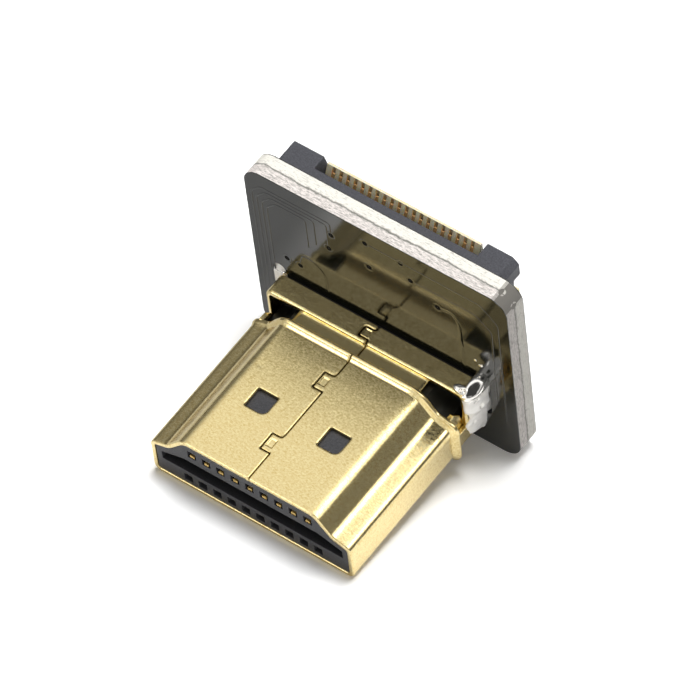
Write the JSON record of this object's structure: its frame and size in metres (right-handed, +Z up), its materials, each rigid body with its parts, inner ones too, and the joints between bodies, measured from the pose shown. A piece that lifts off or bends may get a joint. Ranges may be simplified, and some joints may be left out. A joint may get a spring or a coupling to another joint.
{
  "type": "digital video plug adapter",
  "caption": "Right-angle digital video plug adapter: a gold-plated folded-sheet plug soldered to a small black board that carries a slide-lock ribbon cable connector.",
  "frame": {"origin": "middle of the assembly's footprint, on the surface that it lies on", "axes": "+X across the plug, to the right as seen from the mouth; +Y from the mouth back to the ribbon connector; +Z up. The plug is tipped 8.3 degrees nose down, resting on its mouth and on the foot of its board."},
  "size_m": [0.018, 0.0156, 0.0146],
  "materials": {
    "gold_shell": "gold flash over nickel on a stamped sheet, bright with fine grain",
    "gold_contact": "gold-plated spring contacts, smooth",
    "insulator": "black glass-filled moulding, satin",
    "board": "glass-fibre board under glossy black solder mask, bare cream edges",
    "ribbon_housing": "cream liquid-crystal polymer moulding, satin",
    "ribbon_slider": "dark grey moulding, satin",
    "tinned_anchor": "tin-plated sheet, dull",
    "solder": "lead-free solder, bright and slightly wrinkled"
  },
  "bodies": {
    "adapter": {"board": "board", "plug_shell": "gold_shell", "front_insulator": "insulator", "rear_insulator": "insulator", "pin_solder": "solder", "leg_solder_left": "solder", "leg_solder_right": "solder", "ribbon_housing": "ribbon_housing", "ribbon_anchor_left": "tinned_anchor", "ribbon_anchor_right": "tinned_anchor", "ribbon_solder": "solder", "contact_01": "gold_contact", "contact_02": "gold_contact", "contact_03": "gold_contact", "contact_04": "gold_contact", "contact_05": "gold_contact", "contact_06": "gold_contact", "contact_07": "gold_contact", "contact_08": "gold_contact", "contact_09": "gold_contact", "contact_10": "gold_contact", "contact_11": "gold_contact", "contact_12": "gold_contact", "contact_13": "gold_contact", "contact_14": "gold_contact", "contact_15": "gold_contact", "contact_16": "gold_contact", "contact_17": "gold_contact", "contact_18": "gold_contact", "contact_19": "gold_contact", "ribbon_contact_01": "gold_contact", "ribbon_contact_02": "gold_contact", "ribbon_contact_03": "gold_contact", "ribbon_contact_04": "gold_contact", "ribbon_contact_05": "gold_contact", "ribbon_contact_06": "gold_contact", "ribbon_contact_07": "gold_contact", "ribbon_contact_08": "gold_contact", "ribbon_contact_09": "gold_contact", "ribbon_contact_10": "gold_contact", "ribbon_contact_11": "gold_contact", "ribbon_contact_12": "gold_contact", "ribbon_contact_13": "gold_contact", "ribbon_contact_14": "gold_contact", "ribbon_contact_15": "gold_contact", "ribbon_contact_16": "gold_contact", "ribbon_contact_17": "gold_contact", "ribbon_contact_18": "gold_contact", "ribbon_contact_19": "gold_contact", "ribbon_contact_20": "gold_contact"},
    "slider": {"ribbon_slider": "ribbon_slider"}
  },
  "joints": [
    {"name": "slider_pull", "type": "slide", "parent": "adapter", "child": "slider", "axis": [0, -0.145, 0.9894], "range_m": [0, 0.001]}
  ]
}
